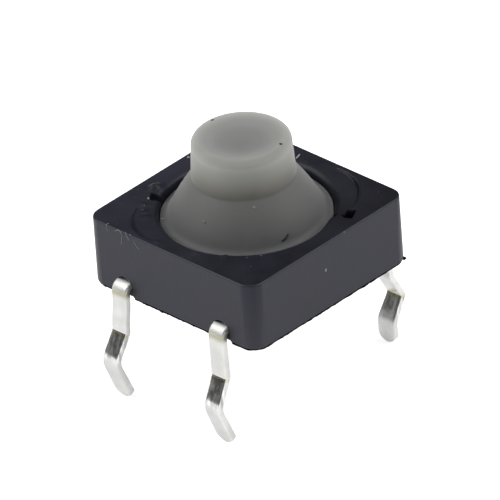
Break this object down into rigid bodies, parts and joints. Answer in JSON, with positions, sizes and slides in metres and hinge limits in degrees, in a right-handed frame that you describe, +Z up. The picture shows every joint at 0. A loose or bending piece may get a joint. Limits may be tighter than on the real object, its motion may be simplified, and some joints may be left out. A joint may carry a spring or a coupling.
{
  "type": "tactile push button switch",
  "caption": "Square black through-hole push switch with a grey silicone button on a soft bell, a round top opening and kinked snap-in pins.",
  "frame": {"origin": "centre of the underside, on the plane that seats on the circuit board", "axes": "+Z up through the button, X towards the sides that the pins leave from, Y along those sides"},
  "size_m": [0.0096, 0.008, 0.0097],
  "materials": {
    "housing": "black moulded plastic, matt on the sides and a little glossier on top",
    "base": "black moulded plastic",
    "terminal": "tin plated strip with fine lengthways brushing",
    "silicone": "smooth translucent grey silicone",
    "carbon": "matt black conductive rubber"
  },
  "bodies": {
    "body": {"housing": "housing", "base": "base", "front_terminal": "terminal", "back_terminal": "terminal", "bell": "silicone"},
    "button": {"button_stem": "silicone", "contact_pill": "carbon"}
  },
  "joints": [
    {"name": "button_press", "type": "slide", "parent": "body", "child": "button", "axis": [0, 0, -1], "range_m": [0, 0.0009], "stiffness_N_per_m": 1800, "deforming": ["bell"]}
  ]
}
